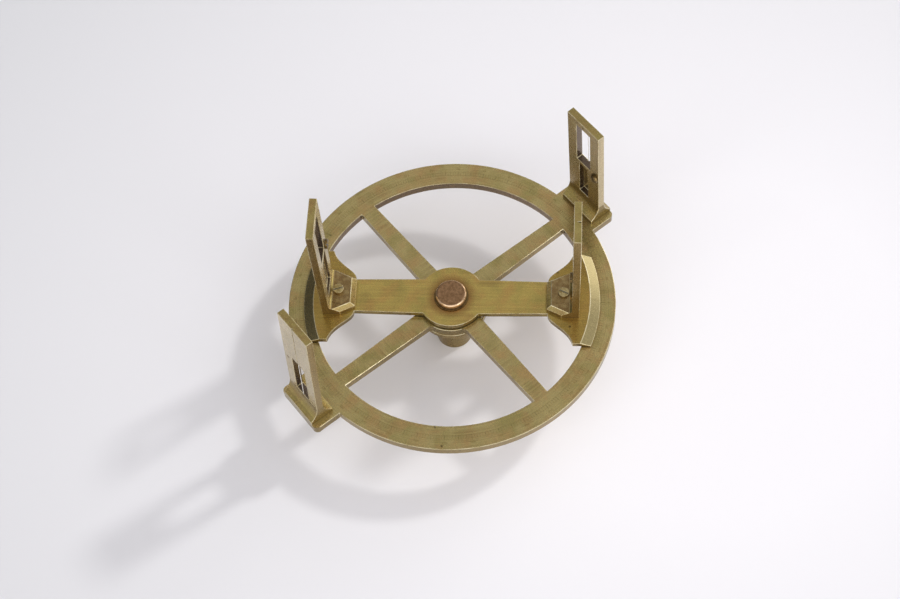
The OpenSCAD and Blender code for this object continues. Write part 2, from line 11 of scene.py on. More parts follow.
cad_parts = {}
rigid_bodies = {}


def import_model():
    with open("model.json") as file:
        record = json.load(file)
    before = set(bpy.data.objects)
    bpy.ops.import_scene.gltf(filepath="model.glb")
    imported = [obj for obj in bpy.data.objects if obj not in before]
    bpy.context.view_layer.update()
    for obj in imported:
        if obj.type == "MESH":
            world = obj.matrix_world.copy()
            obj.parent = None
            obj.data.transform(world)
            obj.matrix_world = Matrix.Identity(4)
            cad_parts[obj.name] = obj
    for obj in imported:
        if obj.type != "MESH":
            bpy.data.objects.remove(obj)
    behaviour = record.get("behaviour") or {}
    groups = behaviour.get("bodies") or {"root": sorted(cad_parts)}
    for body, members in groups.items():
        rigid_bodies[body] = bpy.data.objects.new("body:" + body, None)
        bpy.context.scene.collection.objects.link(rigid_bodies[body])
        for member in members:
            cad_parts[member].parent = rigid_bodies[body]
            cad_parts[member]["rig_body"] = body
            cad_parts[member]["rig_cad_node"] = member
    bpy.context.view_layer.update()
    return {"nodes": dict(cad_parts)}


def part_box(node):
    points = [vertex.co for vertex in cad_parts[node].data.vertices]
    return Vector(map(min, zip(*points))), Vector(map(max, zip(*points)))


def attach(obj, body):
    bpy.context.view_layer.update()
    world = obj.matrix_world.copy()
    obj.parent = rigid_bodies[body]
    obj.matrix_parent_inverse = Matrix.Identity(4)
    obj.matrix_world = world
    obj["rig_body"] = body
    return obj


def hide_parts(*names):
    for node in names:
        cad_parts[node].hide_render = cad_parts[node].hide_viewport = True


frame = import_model()

MM = 0.001
STAND = "stand"
TURNING = "alidade_turning"

# Camera, from the ellipses of the circle and the edges of the sights
CAMERA_PLACE = (0.066649, -0.511915, 0.954946)
CAMERA_RIGHT = (0.99779285, 0.04540212, -0.04845692)
CAMERA_UP = (-0.01585012, 0.87148349, 0.49016864)
CAMERA_BACK = (0.0644841, -0.48831871, 0.87027963)
LENS_MM = 68.67
SENSOR_MM = 36

# Light: where the main lamp stands, how wide it looks, and how strong it is
LAMP_FROM = (0.624, 0.446, 0.642)
LAMP_ANGLE = math.radians(6)
LAMP_STRENGTH = 0.95
# The room is dim towards this corner and bright on the other side
DIM_CORNER = (-0.8, 0.55, 0.25)
ROOM_BRIGHTEST = 1.41
ROOM_DIMMEST = 0.33
ROOM_LIGHT = "#FCFBFF"
# Patches of the room that the brass mirrors, each with the way to its middle, the angles in degrees
# within which it is full and beyond which it is gone, and what it adds to the brightness
SCREEN_BEHIND = ((0.60, 0.73, 0.33), 4, 22, 2.2)
DARK_DOOR = ((-0.75, 0.49, 0.45), 14, 40, -0.24)
LEFT_WINDOW = ((-0.61, -0.61, 0.56), 8, 15, 2.4)
RIGHT_WINDOW = ((0.66, -0.56, 0.56), 8, 15, 2.4)
WHITE_WALL_IN_FRONT = ((-0.06, -0.87, 0.42), 14, 34, 0.7)
DARK_CEILING = ((0, 0, 1), 22, 31, -0.12)

# Floor: its size, and a pool of light painted on it: the spot where it is brightest, and how far round it the
# painted light falls off
FLOOR_SIZE = 12
PAINTED_POOL_MIDDLE = (0.16, 0, 0)
PAINTED_POOL_FULL_R = 0.12
PAINTED_POOL_GONE_R = 0.75

# Heights and radii of faces that differ in finish
CIRCLE_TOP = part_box("circle")[1].z
ALIDADE_LOW, ALIDADE_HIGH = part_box("alidade")
FOOT_TOP = ALIDADE_HIGH.z + 6 * MM
COVE_TOP = CIRCLE_TOP + 13.6 * MM
RIM_INNER_R = 84.9 * MM
# The walls of the spokes lie 25 to 90 mm out
SPOKES_MIDDLE_R = 57.5 * MM
SPOKES_REACH = 32.5 * MM
# The sights' windows and slits lie between these heights, and this far from the sight's middle
OPENINGS_LOW = CIRCLE_TOP + 13 * MM
OPENINGS_HIGH = min(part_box("front_sight")[1].z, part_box("rear_sight")[1].z) - 1.8 * MM
OPENINGS_MIDDLE = (OPENINGS_LOW + OPENINGS_HIGH) / 2
OPENINGS_REACH = (OPENINGS_HIGH - OPENINGS_LOW) / 2
OPENINGS_HALF_W = 7.5 * MM
# Across the fixed line of sight, and across the turning one
ACROSS_FIXED = (-0.656, 0.755, 0)
ACROSS_TURNING = (0, 1, 0)

# Engraving
INDEX_R = ALIDADE_HIGH.x
BEVEL_W = 6 * MM
INDEX_T = 0.5 * MM
MARK_W = 0.11 * MM
MARK_T = 0.02 * MM
SCALE_R = INDEX_R + 0.6 * MM
DEGREE_LEN = 2.4 * MM
FIVE_LEN = 3.4 * MM
NUMBER_R = INDEX_R + 5.6 * MM
NUMBER_H = 1.6 * MM
# A font's size is this much more than the height of its numbers
FONT_PER_HEIGHT = 1.35

# Dressing of the CAD pieces: ledges finer than this close up, flatter folds are merged, and sharper
# edges are bevelled and shaded sharp
MERGE = 0.06 * MM
FLAT_ANGLE = math.radians(0.2)
SHARP_ANGLE = math.radians(24)

# Colours that the finishes share
BROWN_STREAK = "#8C7044"
BROWN_ROUND_PIVOT = "#8A5C34"
UNHANDLED_END = "#A0803C"
WIPED_BEVEL = "#8F845E"
# Painted shade inside the sights' windows and slits
OPENING_PAINTED_SHADE = "#6E6052"
DARK_SPOT = "#4A381C"
OLD_DIRT = "#8A6F47"
WORN_DIRT = "#AC9566"
# Rubbed brass along arrises, partly a painted highlight
RUBBED_METAL_AND_HIGHLIGHT = "#DCCB98"
# Grimy brown and painted shade in the corners of the brass
CORNER_GRIME_AND_SHADE = "#3B2C18"
# Grimy dark brown and painted shade in the slots and corners of small pieces
SLOT_GRIME_AND_SHADE = "#2E2416"


# Small helpers for materials

def linear(hex_colour):
    """sRGB hex to linear RGBA."""
    parts = [int(hex_colour[i:i + 2], 16) / 255 for i in (1, 3, 5)]
    return tuple(c / 12.92 if c <= 0.04045 else ((c + 0.055) / 1.055) ** 2.4 for c in parts) + (1,)


def per(size_mm):
    """Scale of a pattern on Object coordinates whose features are that many millimetres wide."""
    return 1 / (size_mm * MM)


def add(tree, kind, inputs=None, **settings):
    """Add a node with its settings, and set or link its inputs. A colour Mix node takes its share at
    input 0, the colour below at 6 and the one laid over it at 7, and gives its colour at output 2."""
    made = tree.nodes.new(kind)
    for key, value in settings.items():
        setattr(made, key, value)
    for socket, value in (inputs or {}).items():
        if isinstance(value, bpy.types.NodeSocket):
            tree.links.new(value, made.inputs[socket])
        else:
            made.inputs[socket].default_value = value
    return made


def new_material(name):
    """An empty material, its tree, its shader and its output."""
    made = bpy.data.materials.new(name)
    made.use_nodes = True
    tree = made.node_tree
    tree.nodes.clear()
    shader = add(tree, "ShaderNodeBsdfPrincipled")
    add(tree, "ShaderNodeOutputMaterial", {"Surface": shader.outputs[0]})
    return made, tree, shader


def surface(tree):
    """What a finish goes by: place, facing, how far a face looks up, height, and distance from the pivot's
    axis. All ride with the piece, so that its finish stays the same when the alidade turns."""
    coordinates = add(tree, "ShaderNodeTexCoord")
    place = coordinates.outputs["Object"]
    facing = coordinates.outputs["Normal"]
    up = add(tree, "ShaderNodeSeparateXYZ", {0: facing}).outputs["Z"]
    height = add(tree, "ShaderNodeSeparateXYZ", {0: place}).outputs["Z"]
    flat = add(tree, "ShaderNodeVectorMath", {0: place, 1: (1, 1, 0)}, operation="MULTIPLY")
    radius = add(tree, "ShaderNodeVectorMath", {0: flat.outputs[0]}, operation="LENGTH").outputs["Value"]
    return SimpleNamespace(place=place, facing=facing, up=up, height=height, radius=radius)


def lay_lines(tree, where, lay, pitch_mm):
    """Noise drawn out along a tool's path: turned round Z, or straight along x, y or z."""
    if lay == "turned":
        lines = add(tree, "ShaderNodeTexNoise", {"W": where.radius, "Scale": per(pitch_mm), "Detail": 3},
                    noise_dimensions="1D")
    else:
        stretch = tuple(0.02 if axis == lay else 1 for axis in "xyz")
        drawn = add(tree, "ShaderNodeVectorMath", {0: where.place, 1: stretch}, operation="MULTIPLY")
        lines = add(tree, "ShaderNodeTexNoise", {"Vector": drawn.outputs[0], "Scale": per(pitch_mm),
                                                 "Detail": 3})
    return lines.outputs[0]


def patches(tree, place, size_mm, shift_mm, full_share):
    """Share of an irregular patina in patches of that size, shifted so that two patinas don't coincide."""
    moved = add(tree, "ShaderNodeVectorMath", {0: place, 1: (shift_mm * MM, 0, shift_mm * MM)},
                operation="ADD")
    noise = add(tree, "ShaderNodeTexNoise", {"Vector": moved.outputs[0], "Scale": per(size_mm), "Detail": 3,
                                             "Roughness": 0.5})
    return add(tree, "ShaderNodeMapRange", {"Value": noise.outputs[0], "From Min": 0.44, "From Max": 0.68,
                                            "To Min": 0, "To Max": full_share}).outputs[0]


# Parts of the aged brass finish

def patina(tree, where, lay, skin, green, orange):
    """Skin with olive patches and orange ones, and brown streaks 2 mm wide along the tool's path."""
    olive = patches(tree, where.place, size_mm=12, shift_mm=0, full_share=0.8)
    tone = add(tree, "ShaderNodeMix", {0: olive, 6: linear(skin), 7: linear(green)}, data_type="RGBA")
    warm = patches(tree, where.place, size_mm=9, shift_mm=90, full_share=0.65)
    tone = add(tree, "ShaderNodeMix", {0: warm, 6: tone.outputs[2], 7: linear(orange)}, data_type="RGBA")
    streaks = add(tree, "ShaderNodeMapRange", {"Value": lay_lines(tree, where, lay, pitch_mm=2),
                                               "From Min": 0.42, "From Max": 0.62})
    some_places = patches(tree, where.place, size_mm=16, shift_mm=200, full_share=0.4)
    streaks = add(tree, "ShaderNodeMath", {0: streaks.outputs[0], 1: some_places}, operation="MULTIPLY")
    return add(tree, "ShaderNodeMix", {0: streaks.outputs[0], 6: tone.outputs[2], 7: linear(BROWN_STREAK)},
               data_type="RGBA").outputs[2]


def handled_plate(tree, where, tone):
    """Tone and wear of the alidade's plate: browner in a ring round the pivot's head, browner at the ends
    that hands leave alone, and wiped pale and grey on its bevels."""
    # Browner in a ring round the pivot's head
    round_pivot_brown = add(tree, "ShaderNodeMapRange", {"Value": where.radius, "From Min": 9.8 * MM, "From Max": 16 * MM,
                                             "To Min": 0.85, "To Max": 0})
    tone = add(tree, "ShaderNodeMix", {0: round_pivot_brown.outputs[0], 6: tone, 7: linear(BROWN_ROUND_PIVOT)}, data_type="RGBA")
    end = add(tree, "ShaderNodeMapRange", {"Value": where.radius, "From Min": 58 * MM, "From Max": 66 * MM,
                                           "To Min": 0, "To Max": 0.6})
    tone = add(tree, "ShaderNodeMix", {0: end.outputs[0], 6: tone.outputs[2], 7: linear(UNHANDLED_END)},
               data_type="RGBA")
    # A bevel falls 3.1 mm in 6, so its face looks up by 0.885
    bevel = add(tree, "ShaderNodeMath", {0: where.up, 1: 0.885, 2: 0.04}, operation="COMPARE")
    bevel = add(tree, "ShaderNodeMath", {0: bevel.outputs[0], 1: 0.9}, operation="MULTIPLY")
    return add(tree, "ShaderNodeMix", {0: bevel.outputs[0], 6: tone.outputs[2], 7: linear(WIPED_BEVEL)},
               data_type="RGBA").outputs[2]


def casting_walls(tree, where, spoke_wall, outer_wall, rim_wall):
    """Walls of the circle: wiped clean on the spokes, duller outside, with casting skin inside the rim."""
    on_spokes = add(tree, "ShaderNodeMath", {0: where.radius, 1: SPOKES_MIDDLE_R, 2: SPOKES_REACH},
                    operation="COMPARE")
    walls = add(tree, "ShaderNodeMix", {0: on_spokes.outputs[0], 6: linear(outer_wall), 7: spoke_wall},
                data_type="RGBA")
    in_rim = add(tree, "ShaderNodeMath", {0: where.radius, 1: RIM_INNER_R, 2: 0.7 * MM}, operation="COMPARE")
    return add(tree, "ShaderNodeMix", {0: in_rim.outputs[0], 6: walls.outputs[2], 7: linear(rim_wall)},
               data_type="RGBA").outputs[2]


def dark_openings(tree, where, tone, across, sideways):
    """Windows and slits of a sight are painted dark inside, a painted shade, where its faces don't look along
    its line.
    """
    level = add(tree, "ShaderNodeMath", {0: where.up}, operation="ABSOLUTE")
    level = add(tree, "ShaderNodeMath", {0: level.outputs[0], 1: sideways}, operation="MAXIMUM")
    inner = add(tree, "ShaderNodeMath", {0: level.outputs[0], 1: 0.5}, operation="GREATER_THAN")
    aside = add(tree, "ShaderNodeVectorMath", {0: where.place, 1: across}, operation="DOT_PRODUCT")
    aside = add(tree, "ShaderNodeMath", {0: aside.outputs["Value"]}, operation="ABSOLUTE")
    near = add(tree, "ShaderNodeMath", {0: aside.outputs[0], 1: OPENINGS_HALF_W}, operation="LESS_THAN")
    inner = add(tree, "ShaderNodeMath", {0: inner.outputs[0], 1: near.outputs[0]}, operation="MULTIPLY")
    at_height = add(tree, "ShaderNodeMath", {0: where.height, 1: OPENINGS_MIDDLE, 2: OPENINGS_REACH},
                    operation="COMPARE")
    inner = add(tree, "ShaderNodeMath", {0: inner.outputs[0], 1: at_height.outputs[0]}, operation="MULTIPLY")
    return add(tree, "ShaderNodeMix", {0: inner.outputs[0], 6: tone, 7: linear(OPENING_PAINTED_SHADE)},
               data_type="RGBA").outputs[2]


def dark_spots(tree, where, tone):
    """Dark spots 1 mm wide, in half of the cells, 13 mm apart."""
    cells = add(tree, "ShaderNodeTexVoronoi", {"Vector": where.place, "Scale": per(13)})
    chance = add(tree, "ShaderNodeSeparateColor", {0: cells.outputs["Color"]})
    chosen = add(tree, "ShaderNodeMath", {0: chance.outputs[0], 1: 0.5}, operation="GREATER_THAN")
    spot = add(tree, "ShaderNodeMapRange", {"Value": cells.outputs["Distance"], "From Min": 0.035,
                                            "From Max": 0.08, "To Min": 0.8, "To Max": 0})
    spot = add(tree, "ShaderNodeMath", {0: spot.outputs[0], 1: chosen.outputs[0]}, operation="MULTIPLY")
    return add(tree, "ShaderNodeMix", {0: spot.outputs[0], 6: tone, 7: linear(DARK_SPOT)},
               data_type="RGBA").outputs[2]


def dirty_foot(tree, where, tone):
    """Old lacquer and dirt stand brown on the level top of the foot."""
    level = add(tree, "ShaderNodeMath", {0: where.up, 1: 0.97}, operation="GREATER_THAN")
    low = add(tree, "ShaderNodeMath", {0: where.height, 1: FOOT_TOP + 0.5 * MM}, operation="LESS_THAN")
    dirty = add(tree, "ShaderNodeMath", {0: level.outputs[0], 1: low.outputs[0]}, operation="MULTIPLY")
    dirty = add(tree, "ShaderNodeMath", {0: dirty.outputs[0], 1: 0.9}, operation="MULTIPLY")
    worn = patches(tree, where.place, size_mm=3, shift_mm=20, full_share=0.9)
    dirt = add(tree, "ShaderNodeMix", {0: worn, 6: linear(OLD_DIRT), 7: linear(WORN_DIRT)}, data_type="RGBA")
    return add(tree, "ShaderNodeMix", {0: dirty.outputs[0], 6: tone, 7: dirt.outputs[2]},
               data_type="RGBA").outputs[2]


def aged_brass(name, lay, skin, green, orange, wall, outer_wall=None, rim_wall=None, flank=None,
               across=None, low_wall=None, dark_foot=False, worn_plate=False):
    """Cast and filed brass that was once lacquered: glossy under a thin skin of olive and orange patina,
    paler on upright walls, grimy and in painted shade in its corners, and bright along rubbed arrises, partly
    as a painted highlight."""
    made, tree, shader = new_material(name)
    where = surface(tree)
    tone = patina(tree, where, lay, skin, green, orange)
    if worn_plate:
        tone = handled_plate(tree, where, tone)

    # Walls that face sideways are greyer and paler, with faint clouds
    clouds = patches(tree, where.place, size_mm=9, shift_mm=40, full_share=0.3)
    walls = add(tree, "ShaderNodeMix", {0: clouds, 6: linear(wall), 7: tone}, data_type="RGBA").outputs[2]
    if outer_wall:
        walls = casting_walls(tree, where, walls, outer_wall, rim_wall)
    if flank:
        # Filed edges of a sight, which face across its line, differ from its sawn faces
        turned = add(tree, "ShaderNodeVectorMath", {0: where.facing, 1: across}, operation="DOT_PRODUCT")
        sideways = add(tree, "ShaderNodeMath", {0: turned.outputs["Value"]}, operation="ABSOLUTE").outputs[0]
        edge = add(tree, "ShaderNodeMapRange", {"Value": sideways, "From Min": 0.6, "From Max": 0.8})
        walls = add(tree, "ShaderNodeMix", {0: edge.outputs[0], 6: walls, 7: linear(flank)},
                    data_type="RGBA").outputs[2]
    lines = lay_lines(tree, where, lay, pitch_mm=0.6)
    if low_wall:
        # The plinth and its coves are browner, and the coves were planed along the plinth
        below = add(tree, "ShaderNodeMath", {0: where.height, 1: COVE_TOP}, operation="LESS_THAN").outputs[0]
        walls = add(tree, "ShaderNodeMix", {0: below, 6: walls, 7: linear(low_wall)},
                    data_type="RGBA").outputs[2]
        planed = add(tree, "ShaderNodeTexNoise", {"W": where.height, "Scale": per(0.9), "Detail": 2},
                     noise_dimensions="1D")
        lines = add(tree, "ShaderNodeMix", {0: below, 2: lines, 3: planed.outputs[0]}).outputs[0]
    steep = add(tree, "ShaderNodeMath", {0: where.up}, operation="ABSOLUTE")
    steep = add(tree, "ShaderNodeMapRange", {"Value": steep.outputs[0], "From Min": 0.25, "From Max": 0.6,
                                             "To Min": 0.92, "To Max": 0})
    tone = add(tree, "ShaderNodeMix", {0: steep.outputs[0], 6: tone, 7: walls}, data_type="RGBA").outputs[2]
    # Painted shade inside windows and slits
    if flank:
        tone = dark_openings(tree, where, tone, across, sideways)

    # Tool lines 0.6 mm apart, drawn coarser than the real ones so that they show, and speckles
    speckle = add(tree, "ShaderNodeTexNoise", {"Vector": where.place, "Scale": per(1.3), "Detail": 2,
                                               "Roughness": 0.6}).outputs[0]
    relief = add(tree, "ShaderNodeMath", {0: speckle, 1: 0.5, 2: lines}, operation="MULTIPLY_ADD").outputs[0]
    shade = add(tree, "ShaderNodeMapRange", {"Value": relief, "From Min": 0.45, "From Max": 1.05,
                                             "To Min": 0.84, "To Max": 1.14})
    tone = add(tree, "ShaderNodeVectorMath", {0: tone, "Scale": shade.outputs[0]},
               operation="SCALE").outputs[0]
    tone = dark_spots(tree, where, tone)
    if dark_foot:
        tone = dirty_foot(tree, where, tone)

    # Rubbed metal within 0.5 mm of an arris, with a painted highlight on it
    arris = add(tree, "ShaderNodeAmbientOcclusion", {"Distance": 0.5 * MM}, inside=True, only_local=True,
                samples=8)
    rubbed = add(tree, "ShaderNodeMapRange", {"Value": arris.outputs["AO"], "From Min": 0.35, "From Max": 0.8,
                                              "To Min": 0.5, "To Max": 0})
    tone = add(tree, "ShaderNodeMix", {0: rubbed.outputs[0], 6: tone, 7: linear(RUBBED_METAL_AND_HIGHLIGHT)},
               data_type="RGBA").outputs[2]

    # Grimy brown and painted shade within 3 mm of an inner corner
    corner = add(tree, "ShaderNodeAmbientOcclusion", {"Distance": 3 * MM}, samples=8)
    grime_and_shade = add(tree, "ShaderNodeMapRange", {"Value": corner.outputs["AO"], "From Min": 0.2, "From Max": 0.75,
                                             "To Min": 0.8, "To Max": 0}).outputs[0]
    tone = add(tree, "ShaderNodeMix", {0: grime_and_shade, 6: tone, 7: linear(CORNER_GRIME_AND_SHADE)}, data_type="RGBA")
    tree.links.new(tone.outputs[2], shader.inputs["Base Color"])
    shader.inputs["Metallic"].default_value = 0.86

    # The grimy corners are duller, and the speckles vary the gloss
    gloss = add(tree, "ShaderNodeMapRange", {"Value": speckle, "From Min": 0.3, "From Max": 0.7,
                                             "To Min": 0.2, "To Max": 0.3})
    gloss = add(tree, "ShaderNodeMath", {0: grime_and_shade, 1: 0.3, 2: gloss.outputs[0]}, operation="MULTIPLY_ADD")
    tree.links.new(gloss.outputs[0], shader.inputs["Roughness"])
    bump = add(tree, "ShaderNodeBump", {"Height": relief, "Strength": 0.08, "Distance": 0.02 * MM})
    tree.links.new(bump.outputs[0], shader.inputs["Normal"])
    return made


# Other finishes

def turned_metal(name, light, dark, metallic, roughness, cloud_mm=2.5, grime_and_shade_share=0.8, side=None):
    """Small turned or drawn pieces: two tones of skin in clouds, and slots and corners darkened, as grit and
    as painted shade.
    Where a side colour is given, rounded and upright faces are painted to it, as rubbed metal with a painted
    highlight."""
    made, tree, shader = new_material(name)
    coordinates = add(tree, "ShaderNodeTexCoord")
    clouds = add(tree, "ShaderNodeTexNoise", {"Vector": coordinates.outputs["Object"], "Scale": per(cloud_mm),
                                              "Detail": 6, "Roughness": 0.62}).outputs[0]
    share = add(tree, "ShaderNodeMapRange", {"Value": clouds, "From Min": 0.38, "From Max": 0.64})
    tone = add(tree, "ShaderNodeMix", {0: share.outputs[0], 6: linear(light), 7: linear(dark)},
               data_type="RGBA")
    # Rounded and upright faces are painted paler: rubbed metal, and a painted highlight
    if side:
        facing = add(tree, "ShaderNodeSeparateXYZ", {0: coordinates.outputs["Normal"]})
        rounded = add(tree, "ShaderNodeMapRange", {"Value": facing.outputs["Z"], "From Min": 0.8,
                                                   "From Max": 0.98, "To Min": 1, "To Max": 0})
        tone = add(tree, "ShaderNodeMix", {0: rounded.outputs[0], 6: tone.outputs[2], 7: linear(side)},
                   data_type="RGBA")
    # Darker in slots and corners within 1.2 mm: grit, and painted shade
    corner = add(tree, "ShaderNodeAmbientOcclusion", {"Distance": 1.2 * MM}, samples=8)
    dirt = add(tree, "ShaderNodeMapRange", {"Value": corner.outputs["AO"], "From Min": 0.4, "From Max": 0.9,
                                            "To Min": grime_and_shade_share, "To Max": 0})
    tone = add(tree, "ShaderNodeMix", {0: dirt.outputs[0], 6: tone.outputs[2], 7: linear(SLOT_GRIME_AND_SHADE)},
               data_type="RGBA")
    tree.links.new(tone.outputs[2], shader.inputs["Base Color"])
    shader.inputs["Metallic"].default_value = metallic
    gloss = add(tree, "ShaderNodeMapRange", {"Value": clouds, "From Min": 0.3, "From Max": 0.7,
                                             "To Min": roughness - 0.04, "To Max": roughness + 0.06})
    tree.links.new(gloss.outputs[0], shader.inputs["Roughness"])
    bump = add(tree, "ShaderNodeBump", {"Height": clouds, "Strength": 0.2, "Distance": 0.03 * MM})
    tree.links.new(bump.outputs[0], shader.inputs["Normal"])
    return made


def rubbed_arris(name, colour, dull, roughness):
    """Brass rubbed bright by hands and cloths along a bevelled arris, with duller patches; its pale cream is
    partly a painted highlight.
    """
    made, tree, shader = new_material(name)
    place = add(tree, "ShaderNodeTexCoord").outputs["Object"]
    duller = patches(tree, place, size_mm=6, shift_mm=0, full_share=0.8)
    tone = add(tree, "ShaderNodeMix", {0: duller, 6: linear(colour), 7: linear(dull)}, data_type="RGBA")
    tree.links.new(tone.outputs[2], shader.inputs["Base Color"])
    shader.inputs["Metallic"].default_value = 0.85
    shader.inputs["Roughness"].default_value = roughness
    return made


def floor_paper(name):
    """Matt studio paper, near white, painted a little darker away from its middle as a painted pool of light.
    """
    made, tree, shader = new_material(name)
    place = add(tree, "ShaderNodeTexCoord").outputs["Object"]
    # Painted pool of light: darker away from its middle
    away = add(tree, "ShaderNodeVectorMath", {0: place, 1: PAINTED_POOL_MIDDLE}, operation="DISTANCE")
    share = add(tree, "ShaderNodeMapRange", {"Value": away.outputs["Value"], "From Min": PAINTED_POOL_FULL_R,
                                             "From Max": PAINTED_POOL_GONE_R})
    tone = add(tree, "ShaderNodeMix", {0: share.outputs[0], 6: linear("#F1EFF0"), 7: linear("#C0C1C2")},
               data_type="RGBA")
    tree.links.new(tone.outputs[2], shader.inputs["Base Color"])
    shader.inputs["Roughness"].default_value = 0.9
    shader.inputs["Specular IOR Level"].default_value = 0.2
    return made


MATERIALS = {
    "circle": aged_brass("aged_brass_turned", "turned", "#BEAC72", "#A5985C", "#C09B66", "#8E7C52",
                         outer_wall="#86744B", rim_wall="#83705C"),
    "socket": aged_brass("aged_brass_socket", "turned", "#A5905C", "#8F7F48", "#A07A48", "#8A7648"),
    "alidade": aged_brass("aged_brass_filed_along", "x", "#C5AD60", "#AE9D57", "#C69E5C", "#7C6A40",
                          worn_plate=True),
    # The two fixed sights are one finish in two copies: the rear sight's filed edges are painted paler, as a
    # painted sheen, and the front sight's edges darker, as painted shade
    "rear": aged_brass("aged_brass_rear_sight_painted_sheen_on_edges", "z", "#AE9C5E", "#968850", "#A8885A", "#A28E60",
                       flank="#BFAF8A", across=ACROSS_FIXED, low_wall="#857346"),
    "front": aged_brass("aged_brass_front_sight_painted_shade_on_edges", "z", "#AE9C5E", "#968850", "#A8885A", "#CDBE9B",
                        flank="#968258", across=ACROSS_FIXED, low_wall="#8C7A4C"),
    "turning": aged_brass("aged_brass_of_feet", "z", "#B4A263", "#9C8E50", "#B08C5C", "#DCCEA8",
                          flank="#8C7850", across=ACROSS_TURNING, dark_foot=True),
    "arris": rubbed_arris("rubbed_brass_arris_painted_highlight", "#E6DAB4", "#B7A36C", 0.2),
    # The pivot's rounding carries a painted highlight in its side colour
    "pivot": turned_metal("turned_bronze", "#AA8460", "#80603F", 0.9, 0.16, cloud_mm=1.6, side="#D8B894"),
    "screw": turned_metal("worn_screw_brass", "#CDBA84", "#9A8550", 0.88, 0.25, grime_and_shade_share=0.95),
    # Screw brass painted dark as painted shade, for the hair screws and pegs inside the sights and the washer
    # under the pivot's head
    "painted_shade_brass": turned_metal("screw_brass_in_painted_shade", "#8A7448", "#5C4A2C", 0.85, 0.3),
    "dark": turned_metal("dark_patinated_bronze", "#5A472C", "#3B2D1B", 0.7, 0.4),
    "steel": turned_metal("dull_steel", "#5E5A55", "#3E3A36", 0.9, 0.4),
    "hair": turned_metal("drawn_wire", "#F2EEE8", "#E2DCD2", 0.1, 0.4, grime_and_shade_share=0),
    "wax": turned_metal("worn_engraving_wax", "#8A7742", "#7A683A", 0.5, 0.45, grime_and_shade_share=0.2),
}


# Small helpers for modelling

def select_only(*objects):
    """Deselect everything and select these, the first one active."""
    if bpy.context.object and bpy.context.object.mode != "OBJECT":
        bpy.ops.object.mode_set(mode="OBJECT")
    bpy.ops.object.select_all(action="DESELECT")
    for o in objects:
        o.select_set(True)
    bpy.context.view_layer.objects.active = objects[0]


def in_edit_mode(piece, *steps):
    """Run edit-mode steps on the whole of a piece."""
    select_only(piece)
    bpy.ops.object.mode_set(mode="EDIT")
    bpy.ops.mesh.select_all(action="SELECT")
    for step in steps:
        step()
    bpy.ops.object.mode_set(mode="OBJECT")


def apply_modifier(piece, kind, **settings):
    """Add a modifier with these settings and apply it."""
    select_only(piece)
    made = piece.modifiers.new(kind.lower(), kind)
    for key, value in settings.items():
        setattr(made, key, value)
    bpy.ops.object.modifier_apply(modifier=made.name)


def settle(piece):
    """Put a piece's place into its mesh and its object at the origin."""
    select_only(piece)
    bpy.ops.object.transform_apply(location=True, rotation=True, scale=True)


def weigh_arrises(piece, min_length):
    """Give a bevel weight to the sharp edges that are long enough."""
    mesh = piece.data
    weights = mesh.attributes.new("bevel_weight_edge", "FLOAT", "EDGE")
    normals = {}
    for face in mesh.polygons:
        for key in face.edge_keys:
            normals.setdefault(key, []).append(face.normal)
    for edge in mesh.edges:
        sides = normals.get(edge.key, [])
        start, end = (mesh.vertices[v].co for v in edge.vertices)
        long_enough = (start - end).length > min_length
        if len(sides) == 2 and long_enough and sides[0].angle(sides[1], 0) > SHARP_ANGLE:
            weights.data[edge.index].value = 1


def dressed(node, material, bevel_mm=0.25, min_length_mm=0.7, arris="arris"):
    """A merged copy of a CAD node with bevelled arrises, in its finish, that stands for the node."""
    source = frame["nodes"][node]
    piece = source.copy()
    piece.data = source.data.copy()
    piece.parent = None
    piece.name = node + "_dressed"
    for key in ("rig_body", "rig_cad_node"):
        del piece[key]
    bpy.context.scene.collection.objects.link(piece)
    in_edit_mode(
        piece,
        lambda: bpy.ops.mesh.remove_doubles(threshold=MERGE),
        lambda: bpy.ops.mesh.dissolve_limited(angle_limit=FLAT_ANGLE),
    )
    piece.data.materials.clear()
    piece.data.materials.append(MATERIALS[material])
    piece.data.materials.append(MATERIALS[arris])
    weigh_arrises(piece, min_length_mm * MM)
    apply_modifier(piece, "BEVEL", limit_method="WEIGHT", width=bevel_mm * MM, segments=2,
                   use_clamp_overlap=False, material=1)
    select_only(piece)
    bpy.ops.object.shade_smooth_by_angle(angle=SHARP_ANGLE)
    apply_modifier(piece, "WEIGHTED_NORMAL", keep_sharp=True)
    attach(piece, source["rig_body"])
    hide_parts(node)
    return piece


def finish_node(node, material):
    """Give a CAD node that stays its finish."""
    mesh = frame["nodes"][node].data
    mesh.materials.clear()
    mesh.materials.append(MATERIALS[material])


def turned_copies(piece, count, step_deg):
    """Repeat a piece round Z."""
    bpy.ops.object.empty_add(rotation=(0, 0, math.radians(step_deg)))
    turn = bpy.context.object
    apply_modifier(piece, "ARRAY", count=count, use_relative_offset=False, use_object_offset=True,
                   offset_object=turn)
    bpy.data.objects.remove(turn)


def joined(name, pieces):
    """Join pieces into one, named."""
    select_only(*pieces)
    bpy.ops.object.join()
    made = bpy.context.object
    made.name = name
    return made


# Engraving, as wax that stands a hair's breadth proud

def division_line(length):
    """One radial line of the scale, from the scale's inner circle outwards."""
    bpy.ops.mesh.primitive_cube_add(size=1, location=(SCALE_R + length / 2, 0, CIRCLE_TOP))
    line = bpy.context.object
    line.scale = (length, MARK_W, 2 * MARK_T)
    settle(line)
    return line


